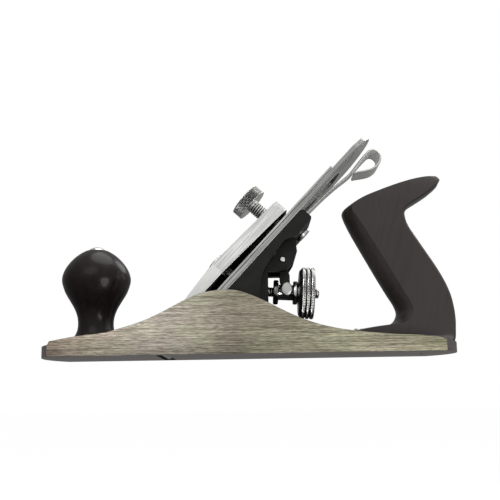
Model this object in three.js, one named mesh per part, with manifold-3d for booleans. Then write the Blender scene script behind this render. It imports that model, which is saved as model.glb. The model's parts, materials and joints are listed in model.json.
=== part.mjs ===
// Bench smoothing plane with a 47 degree bed, millimetres, +Z up, toe at -X, sole on z = 0.
import * as THREE from "three";
import { mergeVertices } from "three/addons/utils/BufferGeometryUtils.js";
import Module from "manifold-3d";

const wasm = await Module();
wasm.setup();

// ---------- driving dimensions ----------
const GAP = 0.3; // running clearance between touching pieces
const SOLE = { half: 31, toe: 114.5, toeBulge: 8.5, heel: 111, heelBulge: 11.5, thick: 4.2, lip: 6.5, heelLip: 5.9 };
const CHEEK = { thick: 3 };
const MOUTH = { x: -47, front: -53.5, half: 26.6 }; // where the bed line meets the sole
const BED = 47; // degrees
const IRON = { half: 25, thick: 2.9, top: 164, apex: 180.6, slotHalf: 5.6, slotFrom: 34, slotTo: 142 };
const CAP = { from: 3.2, to: 4.4, top: 146.2 }; // cap iron, heights above the bed plane
const SCREW = { lever: 60.4, cap: 74.4, finger: 86.8, roller: 98.1, rivet: 108.6 }; // along the bed
const LEVER = { top: 109.6, crease: 56, face: 16.6, end: 14.3, under: 8.9, lip: 6.2, wall: 3, half: 25 };
const THUMB = { s: 101.6, stem: 4.2, disc: 11, from: 26.2, to: 33.1 };
const FROG = { top: 115.6, half: 25, body: 15, plate: 5.2, slot: 8.9, rearX: 11.4 };
const YOKE = { x: 20.16, z: 56.03 };
// The adjuster's axis drops towards the heel; its own x starts where the fork stands.
const AXLE = { x: 22, z: 38, tilt: 3, stud: 3, hub: 4.65, flange: 7.4, wheel: 15.5, rim: 9.3, width: 7.9, face: 1.4 };
const KNOB = { x: -92.4, seat: 8, height: 66.2 };
const TOTE = { half: 12, seat: 6.2 };

// ---------- materials ----------
const mat = (r, g, b, roughness, metalness) =>
  new THREE.MeshStandardMaterial({ color: new THREE.Color(r, g, b), roughness, metalness });
const STEEL = mat(0.42, 0.41, 0.37, 0.42, 0.9);
const BLADE = mat(0.5, 0.5, 0.5, 0.35, 0.95);
const NICKEL = mat(0.72, 0.72, 0.72, 0.22, 1);
const BRIGHT = mat(0.62, 0.62, 0.62, 0.3, 1);
const BLACK = mat(0.03, 0.03, 0.032, 0.5, 0.2);
const WOOD = mat(0.05, 0.032, 0.028, 0.25, 0);

// ---------- solids ----------
const solidOf = (geometry) => {
  const g = geometry.clone();
  g.deleteAttribute("normal");
  g.deleteAttribute("uv");
  const m = mergeVertices(g, 1e-4);
  return new wasm.Manifold(
    new wasm.Mesh({
      numProp: 3,
      vertProperties: new Float32Array(m.attributes.position.array),
      triVerts: new Uint32Array(m.index.array),
    }),
  );
};
const add = (...list) => wasm.Manifold.union(list);
const cut = (a, ...list) => wasm.Manifold.difference([a, ...list]);
const cube = (x0, x1, y0, y1, z0, z1) =>
  solidOf(
    new THREE.BoxGeometry(x1 - x0, y1 - y0, z1 - z0).translate((x0 + x1) / 2, (y0 + y1) / 2, (z0 + z1) / 2),
  );
// A cylinder or cone frustum along X, Y or Z from a to b.
const rod = (axis, u, v, a, b, r, r2 = r, seg = 32) => {
  const g = new THREE.CylinderGeometry(r2, r, b - a, seg);
  if (axis === "z") g.rotateX(Math.PI / 2).translate(u, v, (a + b) / 2);
  if (axis === "x") g.rotateZ(-Math.PI / 2).translate((a + b) / 2, u, v);
  if (axis === "y") g.translate(u, (a + b) / 2, v);
  return solidOf(g);
};
// A turned body about a vertical line, from [radius, height] pairs.
const turned = (x, y, pairs, seg = 40) =>
  solidOf(new THREE.LatheGeometry(pairs.map((p) => new THREE.Vector2(p[0], p[1])), seg)
    .rotateX(Math.PI / 2).translate(x, y, 0));
const shapeOf = (points) => new THREE.Shape(points.map((p) => new THREE.Vector2(p[0], p[1])));
// A side outline in (x, z), carried across from y0 to y1.
const slab = (points, y0, y1) =>
  solidOf(new THREE.ExtrudeGeometry(shapeOf(points), { depth: y1 - y0, bevelEnabled: false })
    .rotateX(Math.PI / 2).translate(0, y1, 0));
// A plan outline in (x, y), carried up from z0 to z1.
const plan = (points, z0, z1) =>
  solidOf(new THREE.ExtrudeGeometry(shapeOf(points), { depth: z1 - z0, bevelEnabled: false })
    .translate(0, 0, z0));
const smooth = (points, steps, closed = false) =>
  new THREE.SplineCurve(points.map((p) => new THREE.Vector2(p[0], p[1])))
    .getPoints(steps).map((p) => [p.x, p.y]).slice(0, closed ? -1 : undefined);
const root = new THREE.Group();
root.name = "hand_plane";
const bed = new THREE.Group(); // its own X runs up the bed, its own Z stands off the bed
bed.rotation.y = THREE.MathUtils.degToRad(-BED);
bed.position.set(MOUTH.x, 0, 0);
root.add(bed);
const put = (group, name, solid, material) => {
  const m = solid.getMesh();
  const g = new THREE.BufferGeometry();
  const v = new Float32Array(m.numVert * 3);
  for (let i = 0; i < m.numVert; i++)
    v.set(m.vertProperties.subarray(i * m.numProp, i * m.numProp + 3), i * 3);
  g.setAttribute("position", new THREE.BufferAttribute(v, 3)).setIndex([...m.triVerts]);
  const mesh = new THREE.Mesh(g, material);
  mesh.name = name;
  group.add(mesh);
};
// The bed frame's solids moved to the plane's frame, for cutting a body by a bed shape.
const onBed = (solid) => solid.rotate([0, -BED, 0]).translate([MOUTH.x, 0, 0]);
const COS = Math.cos(THREE.MathUtils.degToRad(BED));
const SIN = Math.sin(THREE.MathUtils.degToRad(BED));
const bx = (s, n) => MOUTH.x + s * COS - n * SIN; // x of a bed point
const bz = (s, n) => s * SIN + n * COS; // z of a bed point
const bp = (s, n) => [bx(s, n), bz(s, n)];
const axle = new THREE.Group(); // its own X runs along the adjuster's stud
axle.rotation.y = THREE.MathUtils.degToRad(AXLE.tilt);
axle.position.set(AXLE.x, 0, AXLE.z);
root.add(axle);
const onAxle = (solid) => solid.rotate([0, AXLE.tilt, 0]).translate([AXLE.x, 0, AXLE.z]);

// The tote bolt leans with the grip: from the heel boss up to the top slope.
const boltLow = new THREE.Vector3(104, 0, 3.4);
const boltHigh = new THREE.Vector3(76, 0, 96.6);
const alongBolt = (a, b, r, seg = 20) => {
  const d = boltHigh.clone().sub(boltLow);
  const g = new THREE.CylinderGeometry(r, r, b - a, seg).translate(0, (a + b) / 2, 0);
  g.applyQuaternion(new THREE.Quaternion().setFromUnitVectors(new THREE.Vector3(0, 1, 0), d.normalize()));
  return solidOf(g.translate(boltLow.x, boltLow.y, boltLow.z));
};
const boltLen = boltHigh.distanceTo(boltLow);
// ---------- base casting: sole, cheeks, seats ----------
const arc = (x, bulge, half, n) => {
  const r = (half * half + bulge * bulge) / (2 * bulge);
  const a = Math.asin(half / r);
  return Array.from({ length: n + 1 }, (_, i) => {
    const t = -a + (2 * a * i) / n;
    return [x - (r - bulge) + r * Math.cos(t), r * Math.sin(t)];
  });
};
const footprint = (inset) => [
  ...arc(SOLE.heel - inset * 0.6, SOLE.heelBulge - inset * 0.4, SOLE.half - inset, 20),
  ...arc(SOLE.toe - inset * 0.6, SOLE.toeBulge - inset * 0.4, SOLE.half - inset, 20).map(([x, y]) => [-x, -y]),
];
const cheekTop = smooth([
  [-113.2, 8.6], [-98.8, 11.1], [-84.4, 12.7], [-77.2, 14.2], [-61.8, 18.8], [-50.5, 23.7], [-39.2, 29.6],
  [-33.5, 32.2], [-25, 35.3], [-13.6, 36.4], [-5.1, 35.5], [6.2, 31.1], [17.5, 25.2], [28.7, 19.9],
  [39.9, 15.9], [53.9, 12.8], [73.5, 10.5], [96, 8.9], [106.5, 8],
], 54);
const cheekSide = [[-SOLE.toe, 0], [-SOLE.toe, 6], ...cheekTop, [110, 6.6], [SOLE.heel, 5.6], [SOLE.heel, 0]];
cheekSide.reverse();
const inner = SOLE.half - CHEEK.thick;
const seatX = [-26.4, 14];
const seat = add(
  cube(seatX[0], seatX[1], -20, 20, 2, 8),
  cube(seatX[0], seatX[1] + 6, -3, 3, 2, 6.5),
  rod("z", KNOB.x, 0, 2, KNOB.seat - GAP, 13, 12.4, 36),
  plan([...arc(SOLE.heel - 3.5, SOLE.heelBulge - 1.6, 13.5, 12), [52, 13.5], [49, 8], [49, -8], [52, -13.5]], 2,
    TOTE.seat - GAP),
);
const rim = cut(
  plan(footprint(0), 0, SOLE.lip),
  plan(footprint(3.4), 3, SOLE.lip + 3),
  cube(-104, 96, -60, 60, SOLE.thick, 20),
);
const mouthCut = slab([
  [MOUTH.front, -2], [bx(-2.9, -0.5), -2.4], bp(0.5, -0.5), bp(8, -0.5),
  [-45.3, 8], [MOUTH.front - 5, 8], [MOUTH.front, 2.6],
], -MOUTH.half, MOUTH.half);
let base = add(
  plan(footprint(0), 0, SOLE.thick),
  rim,
  slab(cheekSide, -SOLE.half, -inner),
  slab(cheekSide, inner, SOLE.half),
  seat,
);
base = cut(
  base,
  mouthCut,
  rod("z", KNOB.x, 0, 3, 9, 3.2, 3.2, 20),
  alongBolt(-3, 12, 3.3),
  cube(84, 130, -60, 60, SOLE.heelLip, 20 + SOLE.lip).subtract(cube(83, 131, -SOLE.half - 1, -inner, 0, 30))
    .subtract(cube(83, 131, inner, SOLE.half + 1, 0, 30)),
  rod("z", 66, 0, 3, 9, 2.4, 2.4, 20),
  rod("z", -19, 12.5, 3, 9, 2.7, 2.7, 20),
  rod("z", -19, -12.5, 3, 9, 2.7, 2.7, 20),
);
put(root, "base_casting", base, STEEL);

// ---------- front knob with its stud and nut ----------
const knobSide = smooth([
  [12.9, KNOB.seat], [12.9, 12.6], [11.9, 14.4], [10.9, 17.4], [10.6, 21.5], [11.2, 25.6], [12.9, 29.9],
  [15.6, 34.7], [18.3, 39.2], [20.1, 43.9], [20.6, 47], [20.2, 50], [18.8, 53.6], [15.7, 58.1], [13.5, 60.5],
  [10.6, 62.9], [6.9, 65], [4.4, 65.9],
], 34);
let knob = turned(KNOB.x, 0, [[0, KNOB.seat], ...knobSide, [0, 65.9]], 44);
knob = cut(knob, rod("z", KNOB.x, 0, 0, 61.6, 3.5, 3.5, 20), rod("z", KNOB.x, 0, 61.5, 70, 5.3, 5.3, 28));
put(root, "front_knob", knob, WOOD);
put(root, "knob_bolt", rod("z", KNOB.x, 0, 3.3, 61.5, 3, 3, 20), NICKEL);
put(root, "knob_nut", turned(KNOB.x, 0, [
  [0, 61.9], [4.9, 61.9], [4.9, 65.6], [4.2, 66.5], [2.6, 67.2], [0, 67.5],
], 28), NICKEL);

// ---------- tote: a loft of rounded sections between its front and back edges ----------
const toteEdges = [
  // front x, z, back x, z, half width
  [60, 6.2, 121.7, 6.2, 11.2], [59.2, 9.5, 122.6, 9.6, 11.8], [58.8, 13.2, 122.8, 14.5, 11.9],
  [71, 15.8, 123, 18, 12], [83.6, 17.4, 122.9, 22, 12], [88, 22.4, 122.6, 27, 12.1],
  [87.2, 28, 120.8, 34.5, 12.3], [82.6, 36, 117.6, 43, 12.5], [77.2, 45.6, 112.9, 51.6, 12.6],
  [71.6, 56, 107.6, 60.2, 12.6], [66, 66.4, 102, 69.2, 12.4], [61.4, 75.4, 98, 76.8, 12],
  [58.4, 82.4, 96.3, 82.4, 11.7], [57.8, 86.4, 96.6, 86, 11.6], [60.6, 89.6, 98.8, 89.3, 11.6],
  [68.4, 94.6, 103.6, 92.6, 11.4], [78.6, 98.9, 108.6, 95.9, 10.8], [89.6, 103, 112.4, 98.8, 10],
  [99.6, 106.2, 115.4, 101.4, 8.8], [108.6, 108.2, 117.4, 103.6, 7.2], [115, 108.8, 118.6, 105.6, 4.6],
];
const toteRing = 20;
const toteLoft = () => {
  const pos = [];
  const idx = [];
  for (const [fx, fz, gx, gz, w] of toteEdges)
    for (let j = 0; j < toteRing; j++) {
      const a = (2 * Math.PI * j) / toteRing;
      const c = Math.cos(a);
      const d = Math.sin(a);
      const along = 0.5 + (0.5 * Math.sign(c) * Math.abs(c) ** 0.8);
      const side = Math.sign(d) * Math.abs(d) ** 0.5;
      pos.push(fx + (gx - fx) * along, w * side, fz + (gz - fz) * along);
    }
  const n = toteEdges.length;
  for (let i = 0; i + 1 < n; i++)
    for (let j = 0; j < toteRing; j++) {
      const a = i * toteRing + j;
      const b = i * toteRing + ((j + 1) % toteRing);
      idx.push(a, b, b + toteRing, a, b + toteRing, a + toteRing);
    }
  for (const [k, flip] of [[0, true], [n - 1, false]]) {
    const [fx, fz, gx, gz] = toteEdges[k];
    pos.push((fx + gx) / 2, 0, (fz + gz) / 2);
    const c = pos.length / 3 - 1;
    for (let j = 0; j < toteRing; j++) {
      const a = k * toteRing + j;
      const b = k * toteRing + ((j + 1) % toteRing);
      idx.push(...(flip ? [c, b, a] : [c, a, b]));
    }
  }
  return solidOf(new THREE.BufferGeometry()
    .setAttribute("position", new THREE.Float32BufferAttribute(pos, 3)).setIndex(idx));
};
const tote = cut(
  toteLoft(),
  alongBolt(-4, boltLen + 8, 3.3),
  alongBolt(boltLen - 7, boltLen + 12, 5.8, 28),
  rod("z", 66, 0, 2, 20, 2.6, 2.6, 20),
  rod("z", 66, 0, 12.4, 24, 4.6, 4.6, 24),
);
put(root, "tote", tote, WOOD);
put(root, "tote_bolt", add(
  cut(alongBolt(-2, boltLen - 7.4, 2.9), cube(80, 120, -9, 9, -9, 3.3)),
  rod("z", 104, 0, 3.3, 5.2, 2.9, 2.9, 20),
), NICKEL);
put(root, "tote_nut", add(
  alongBolt(boltLen - 6.7, boltLen - 2.2, 5.2, 28),
  alongBolt(boltLen - 2.3, boltLen - 1.2, 3.9, 28),
), NICKEL);
put(root, "tote_toe_screw", add(
  rod("z", 66, 0, 3.3, 12.8, 2.1, 2.1, 20),
  rod("z", 66, 0, 12.7, 15.4, 4.2, 3.2, 24),
), NICKEL);

// ---------- frog: bed plate, ribs, yoke slot ----------
const bedFace = -GAP;
const toeS = (4.53 + GAP * COS) / SIN; // where the bed face comes down to the sole
const plate = slab([
  bp(toeS, bedFace), bp(FROG.top - 1, bedFace), bp(FROG.top, bedFace - 1), bp(FROG.top, -7.2),
  bp(FROG.top - 1, -8.2), bp(101, -8.2), bp(95, -FROG.plate), bp(40, -FROG.plate), bp(22, -8.4), [-28.4, 4.53],
].reverse(), -FROG.half, FROG.half);
const core = slab([
  bp(20, -3), bp(106, -3), bp(102.4, -8.2), [28.4, 65.6], [28.9, 60.6], [27.5, 56.2], [25.2, 52.6], [22.6, 49.9],
  [19, 49.2], [FROG.rearX, 49.2], [FROG.rearX, 30], [9.5, 22], [9.5, 8.3], [-27.7, 8.3], [-28.4, 4.53],
].reverse(), -FROG.body, FROG.body);
const flanks = slab([
  bp(20, -4), bp(93, -4), bp(92, -FROG.plate - 0.1), bp(80.9, -6.5), bp(74, -7.8), bp(70, -9.4), bp(66.7, -11.4),
  [6.4, 36], [7, 26], [8.4, 16], [8.6, 8.3], [-27.7, 8.3], [-28.4, 4.53],
].reverse(), -FROG.half, FROG.half);
const foot = cube(-27.7, 13.7, -19.6, 19.6, 8.3, 13);
const hollow = slab([[-18, 14], [4, 14], [4, 26], [-2, 30], [-9, 27]].reverse(), -9, 9);
let frog = add(plate, core, flanks, foot);
frog = cut(
  frog,
  hollow,
  // yoke slot from behind, then the finger window through the plate
  slab([[FROG.rearX, 47.5], [12.3, 53], bp(82, -6.6), bp(95, -6.6), [31, 66], [34, 40], [FROG.rearX, 40]].reverse(),
    -FROG.slot, FROG.slot),
  onBed(cube(81.2, 92.8, -3.6, 3.6, -9, 3)),
  // channel in the bed for the screw head and the lateral lever
  onBed(cube(62.5, 87, -10, 10, -3.5, 2)),
  onBed(cube(86, 130, -8.6, 8.6, -3.5, 2)),
  // holes: stud, yoke pin, lever cap screw, rivet, frog screws
  onAxle(rod("x", 0, 0, -18.6, 8, AXLE.stud + 0.3, AXLE.stud + 0.3, 24)),
  rod("y", YOKE.x, YOKE.z, -16, 16, 1.85, 1.85, 20),
  onBed(rod("z", SCREW.lever, 0, -7, 2, 3.3, 3.3, 20)),
  onBed(rod("z", SCREW.rivet, 0, -12, 2, 2.3, 2.3, 20)),
);
for (const y of [-12.5, 12.5])
  frog = cut(frog,
    rod("z", -19, y, 0, 20, 3.1, 3.1, 20),
    rod("z", -19, y, 14.2, 60, 5.6, 5.6, 24));
put(root, "frog", frog, BLACK);
for (const [side, y] of [["left", 12.5], ["right", -12.5]]) {
  put(root, "frog_washer_" + side, cut(rod("z", -19, y, 14.5, 15.7, 5.2, 5.2, 24),
    rod("z", -19, y, 14, 16, 2.9, 2.9, 20)), NICKEL);
  put(root, "frog_screw_" + side, cut(
    add(rod("z", -19, y, 3.3, 16.2, 2.4, 2.4, 20), rod("z", -19, y, 16, 18.6, 4.6, 4.2, 24)),
    cube(-24, -14, y - 0.6, y + 0.6, 17.4, 20)), NICKEL);
}

// ---------- iron and cap iron ----------
const edgeS = (0.2 - IRON.thick * COS) / SIN; // the cutting edge, 0.2 mm inside the mouth
const bevelS = edgeS + IRON.thick / Math.tan(THREE.MathUtils.degToRad(25));
const ironR = (IRON.half ** 2 + (IRON.apex - IRON.top) ** 2) / (2 * (IRON.apex - IRON.top));
const archA = Math.asin(Math.min(1, IRON.half / ironR));
const arch = Array.from({ length: 17 }, (_, i) => {
  const a = archA - (2 * archA * i) / 16;
  return [IRON.apex - ironR + ironR * Math.cos(a), ironR * Math.sin(a)];
});
const ironBlank = plan([[edgeS, -IRON.half], ...arch.reverse(), [edgeS, IRON.half]], 0, IRON.thick);
const slotEnd = (s, r) => rod("z", s, 0, -3, 9, r, r, 24);
const iron = cut(
  ironBlank,
  slab([[edgeS - 1, -1], [bevelS, -1], [bevelS, 0], [edgeS, IRON.thick], [edgeS - 1, IRON.thick]].reverse(), -30, 30),
  cube(IRON.slotFrom, IRON.slotTo, -IRON.slotHalf, IRON.slotHalf, -3, 9),
  slotEnd(IRON.slotFrom, IRON.slotHalf),
  slotEnd(IRON.slotTo, 10.5),
);
put(bed, "iron", iron, BLADE);
const hump = [
  [CAP.top, CAP.to], [24, CAP.to], [18, 5], [12.5, 6.5], [8, 7.1], [4, 6.4], [1.2, 4.4], [-0.3, CAP.from],
  [0.7, CAP.from], [2, 3.5], [4.4, 4.9], [8, 5.4], [12, 5], [18, 3.4], [24, CAP.from], [CAP.top, CAP.from],
];
const capIron = cut(
  slab(hump, -IRON.half, IRON.half),
  cube(SCREW.lever - 5, SCREW.lever + 5, -4.8, 4.8, 0, 9),
  slotEnd(SCREW.lever - 5, 4.8), slotEnd(SCREW.lever + 5, 4.8),
  slotEnd(SCREW.cap, 3.2),
  cube(SCREW.finger - 3.4, SCREW.finger + 3.4, -3, 3, 0, 9),
);
put(bed, "cap_iron", capIron, BLADE);
put(bed, "cap_iron_screw", cut(
  add(
    rod("z", SCREW.cap, 0, -2.7, -GAP, 7.6, 8, 32),
    rod("z", SCREW.cap, 0, -0.4, IRON.thick + 0.1, 4.4, 4.4, 24),
    rod("z", SCREW.cap, 0, 1, 4.8, 2.9, 2.9, 24),
  ),
  cube(SCREW.cap - 9, SCREW.cap + 9, -0.7, 0.7, -4, -1.4),
), BRIGHT);

// ---------- lever cap with its screw, thumbscrew and pad ----------
const capOutline = (half, s0) => [
  [s0, -half], [60, -half], [LEVER.top - 4, -half + 0.6], [LEVER.top - 1, -half + 2], [LEVER.top, -half + 5],
  [LEVER.top, half - 5], [LEVER.top - 1, half - 2], [LEVER.top - 4, half - 0.6], [60, half], [s0, half],
];
const capSide = [
  [LEVER.top + 1, LEVER.end], [LEVER.crease, LEVER.face], [31.6, 14.5], [18, 12], [10.5, 10.3], [6.4, 8.8],
  [6.4, 7.6], [10.6, 7.3], [16, 6.2], [24, 5.6], [40, LEVER.under], [57, LEVER.under], [LEVER.top + 1, LEVER.lip],
];
const capHollow = [
  [LEVER.top - 1.8, 11.3], [LEVER.crease, 13.3], [32, 11.4], [20, 8.8], [20, 1], [LEVER.top - 1.8, 1],
];
let leverCap = wasm.Manifold.intersection([
  slab(capSide, -30, 30), plan(capOutline(LEVER.half, 0), 0, 20),
]);
leverCap = cut(
  leverCap,
  slab(capHollow, -LEVER.half + LEVER.wall, LEVER.half - LEVER.wall),
);
leverCap = add(leverCap,
  rod("z", THUMB.s, 0, 8.2, 13, 8, 8.4, 32),
  cube(80, LEVER.top - 3, -1.2, 1.2, 8.8, 13),
  slab([[21, 8], [21, 9.4], [32, 12], [52, 13.6], [52, 11.4], [34, 9.4]].reverse(), -1.4, 1.4));
leverCap = cut(
  leverCap,
  rod("z", THUMB.s, 0, 0, 20, THUMB.stem + 0.35, THUMB.stem + 0.35, 28),
  rod("z", SCREW.lever, 0, 0, 20, 4.2, 4.2, 24),
  rod("z", SCREW.lever - 9, 0, 0, 20, 6.6, 6.6, 24),
  cube(SCREW.lever - 9, SCREW.lever, -4.2, 4.2, 0, 20),
);
put(bed, "lever_cap", leverCap, NICKEL);
put(bed, "lever_cap_screw", cut(
  add(rod("z", SCREW.lever, 0, -5.5, 17.2, 2.95, 2.95, 24), rod("z", SCREW.lever, 0, 16.9, 20, 6.2, 5.6, 32)),
  cube(SCREW.lever - 8, SCREW.lever + 8, -0.7, 0.7, 18.7, 23),
), BRIGHT);
put(bed, "thumbscrew_pad", rod("z", THUMB.s, 0, CAP.to + GAP, 6.2, 6, 6, 32), BRIGHT);
put(bed, "thumbscrew", solidOf(new THREE.LatheGeometry([
  [0, 6.5], [3.4, 6.5], [THUMB.stem, 7.6], [THUMB.stem, THUMB.from], [THUMB.disc - 0.7, THUMB.from],
  [THUMB.disc, THUMB.from + 0.7], [THUMB.disc, THUMB.to - 0.7], [THUMB.disc - 0.7, THUMB.to], [0, THUMB.to],
].map((p) => new THREE.Vector2(p[0], p[1])), 48).rotateX(Math.PI / 2).translate(THUMB.s, 0, 0)), NICKEL);

// ---------- lateral lever with curled thumb piece, rivet and roller ----------
const ribbon = (points, t) => {
  const out = [];
  const back = [];
  points.forEach(([x, z], i) => {
    const a = points[Math.max(0, i - 1)];
    const b = points[Math.min(points.length - 1, i + 1)];
    const l = Math.hypot(b[0] - a[0], b[1] - a[1]);
    const nx = (-(b[1] - a[1]) / l) * (t / 2);
    const nz = ((b[0] - a[0]) / l) * (t / 2);
    out.push([x + nx, z + nz]);
    back.unshift([x - nx, z - nz]);
  });
  return [...out, ...back];
};
const barPath = [[91.6, -1.95], [118, -1.95], [137, -2.9], [150, -4.6], [157, -5.6]];
// The thumb piece is a teardrop loop: the bar widens, rolls over and returns below itself.
const upperCurl = smooth([
  [155.4, -5.6], [162, -5.2], [170, -4.9], [174.4, -5.3], [176.5, -8], [176.1, -11.4],
], 14);
const lowerCurl = smooth([
  [176.5, -9.6], [176.1, -11.4], [173.2, -13.8], [169.4, -14.5], [165.2, -13.2], [161.6, -10.9], [158.8, -8.8],
], 14);
const bar = wasm.Manifold.intersection([
  slab(ribbon(barPath, 1.7), -12, 12),
  plan([[93.1, -3.4], [95.1, -5.2], [100.6, -6], [SCREW.rivet, -7], [114.6, -6.4], [127.6, -5], [148, -4.6],
    [168, -5.4], [168, 5.4], [148, 4.6], [127.6, 5], [114.6, 6.4], [SCREW.rivet, 7], [100.6, 6], [95.1, 5.2],
    [93.1, 3.4]], -30, 30),
]);
const upperLeaf = wasm.Manifold.intersection([
  slab(ribbon(upperCurl, 1.5), -12, 12),
  plan([[153, -4.6], [158, -5.4], [163, -7.8], [168, -9.7], [172, -9.8], [184, -9.4], [184, 9.4],
    [172, 9.8], [168, 9.7], [163, 7.8], [158, 5.4], [153, 4.6]], -40, 30),
]);
const lowerLeaf = wasm.Manifold.intersection([
  slab(ribbon(lowerCurl, 1.5), -12, 12),
  plan([[157, -8.6], [160, -9.5], [166, -9.8], [184, -9.4], [184, 9.4], [166, 9.8], [160, 9.5], [157, 8.6]], -40, 30),
]);
put(bed, "lateral_lever", cut(add(bar, upperLeaf, lowerLeaf),
  rod("z", SCREW.rivet, 0, -9, 9, 2.5, 2.5, 24),
  rod("z", SCREW.roller, 0, -9, 9, 1.9, 1.9, 20)), BRIGHT);
put(bed, "lateral_rivet", add(
  rod("z", SCREW.rivet, 0, -10.2, -8.5, 4.8, 5.2, 28),
  rod("z", SCREW.rivet, 0, -9, -0.9, 1.9, 1.9, 20),
  rod("z", SCREW.rivet, 0, -0.95, -0.1, 3.6, 3, 28),
), BRIGHT);
put(bed, "lateral_roller", add(
  rod("z", SCREW.roller, 0, -3.2, -0.4, 1.6, 1.6, 20),
  rod("z", SCREW.roller, 0, -0.75, 1.9, 4.7, 4.7, 32),
), BRIGHT);

// ---------- depth adjuster: yoke, pin, spool, wheel, stud ----------
const prong = (y0, y1) => add(
  slab([[18.6, 52], [23.2, 52], [24.5, 47], [24.5, 40], [20.2, 40], [18.9, 46]].reverse(), y0, y1),
  solidOf(new THREE.SphereGeometry(3.4, 24, 14).scale(1, (y1 - y0) / 6.8 + 0.12, 1.24)
    .translate(22.5, (y0 + y1) / 2, 39.4)),
);
const yoke = cut(
  add(
    prong(5.1, 8.3), prong(-8.3, -5.1),
    cube(18.8, 23, -8.3, 8.3, 48.6, 53),
    rod("y", YOKE.x, YOKE.z, -8.3, 8.3, 4.2, 4.2, 28),
    onBed(cube(SCREW.finger - 2.4, SCREW.finger + 2.4, -2.4, 2.4, -11, 3.9)),
  ),
  rod("y", YOKE.x, YOKE.z, -9, 9, 1.9, 1.9, 20),
);
put(root, "yoke", yoke, BLACK);
put(root, "yoke_pin", rod("y", YOKE.x, YOKE.z, -15.3, 15.3, 1.55, 1.55, 20), NICKEL);
put(axle, "adjuster_spool", cut(
  add(
    rod("x", 0, 0, -7.4, -4.3, AXLE.flange, AXLE.flange, 36),
    rod("x", 0, 0, -4.6, 4.8, AXLE.hub, AXLE.hub, 36),
    rod("x", 0, 0, 4.5, 7.3, AXLE.flange - 0.3, AXLE.flange - 0.3, 36),
    rod("x", 0, 0, 7, AXLE.rim - 0.3, 6, 6, 36),
  ),
  rod("x", 0, 0, -10, 12, AXLE.stud + 0.3, AXLE.stud + 0.3, 24),
), BRIGHT);
const R = AXLE.wheel;
const W = AXLE.width;
put(axle, "adjuster_wheel", solidOf(new THREE.LatheGeometry([
  [3.35, 0], [8.4, 0], [9.3, -1.1], [10, -AXLE.face], [12.9, -AXLE.face], [13.8, -1.1], [R, 0.3], [R, 2.2],
  [R - 0.8, 2.5], [R - 0.8, 2.9], [R, 3.2], [R, 4.8], [R - 0.8, 5.1], [R - 0.8, 5.5], [R, 5.8], [R, W - 0.5], [R - 0.5, W],
  [12.6, W], [12, W - 1.2], [7, W - 1.2], [6.2, W - 0.2], [3.35, W - 0.2], [3.35, 0],
].map((p) => new THREE.Vector2(p[0], p[1])), 48).rotateZ(-Math.PI / 2).translate(AXLE.rim, 0, 0)), NICKEL);
put(axle, "adjuster_stud", add(
  rod("x", 0, 0, -18, 19.6, AXLE.stud, AXLE.stud, 24),
  rod("x", 0, 0, 19.5, 20.4, AXLE.stud, 2.1, 24),
), STEEL);

export default root;
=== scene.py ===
"""Looks of the bench smoothing plane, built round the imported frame. Metres, +Z up, toe at -X."""
import json
import math

import bmesh
import bpy
from mathutils import Matrix, Vector, noise

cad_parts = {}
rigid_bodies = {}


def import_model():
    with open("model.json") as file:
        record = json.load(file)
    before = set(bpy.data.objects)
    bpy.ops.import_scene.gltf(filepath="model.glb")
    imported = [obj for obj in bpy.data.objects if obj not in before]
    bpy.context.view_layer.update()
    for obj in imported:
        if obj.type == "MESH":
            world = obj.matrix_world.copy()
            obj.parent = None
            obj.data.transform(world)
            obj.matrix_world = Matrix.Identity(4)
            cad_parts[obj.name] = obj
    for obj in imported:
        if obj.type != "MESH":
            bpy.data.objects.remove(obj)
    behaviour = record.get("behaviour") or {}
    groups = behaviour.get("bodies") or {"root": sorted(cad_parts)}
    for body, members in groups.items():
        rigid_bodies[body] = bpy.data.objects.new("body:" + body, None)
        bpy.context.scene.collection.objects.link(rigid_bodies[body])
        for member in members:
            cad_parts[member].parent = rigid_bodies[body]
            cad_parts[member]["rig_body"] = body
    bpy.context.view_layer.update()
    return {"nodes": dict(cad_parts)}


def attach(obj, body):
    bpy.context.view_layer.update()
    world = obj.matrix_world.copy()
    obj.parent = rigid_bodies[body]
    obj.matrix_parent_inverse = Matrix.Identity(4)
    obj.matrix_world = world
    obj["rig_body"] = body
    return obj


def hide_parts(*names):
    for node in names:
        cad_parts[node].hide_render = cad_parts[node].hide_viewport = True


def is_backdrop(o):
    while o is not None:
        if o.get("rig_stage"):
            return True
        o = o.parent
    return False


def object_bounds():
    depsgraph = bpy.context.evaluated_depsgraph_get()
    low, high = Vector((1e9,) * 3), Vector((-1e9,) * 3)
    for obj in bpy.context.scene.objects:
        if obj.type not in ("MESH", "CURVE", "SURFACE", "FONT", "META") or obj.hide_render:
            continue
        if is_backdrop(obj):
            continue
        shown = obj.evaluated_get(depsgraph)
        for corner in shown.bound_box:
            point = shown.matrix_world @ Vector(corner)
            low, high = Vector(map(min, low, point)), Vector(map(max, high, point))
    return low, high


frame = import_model()
NODES = frame["nodes"]
BODY = {n: o["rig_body"] for n, o in NODES.items()}
MM = 0.001

# ------------------------------------------------------------------ frames of the bed and the adjuster
BED_ANGLE = math.radians(47)
CB, SB = math.cos(BED_ANGLE), math.sin(BED_ANGLE)
MOUTH_X = -47.0  # mm, where the bed line meets the sole
BED = Matrix(((CB, 0, -SB, MOUTH_X * MM), (0, 1, 0, 0), (SB, 0, CB, 0), (0, 0, 0, 1)))
AXLE_AT = (0.022, 0, 0.038)  # m, the adjuster's origin on the stud
AXLE_TILT = math.radians(3)
AXLE = Matrix.Translation(AXLE_AT) @ Matrix.Rotation(AXLE_TILT, 4, "Y")
Z_ALONG_X = Matrix(((0, 0, 1, 0), (0, 1, 0, 0), (-1, 0, 0, 0), (0, 0, 0, 1)))
TURNED_X = AXLE @ Z_ALONG_X  # local z along the stud


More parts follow.
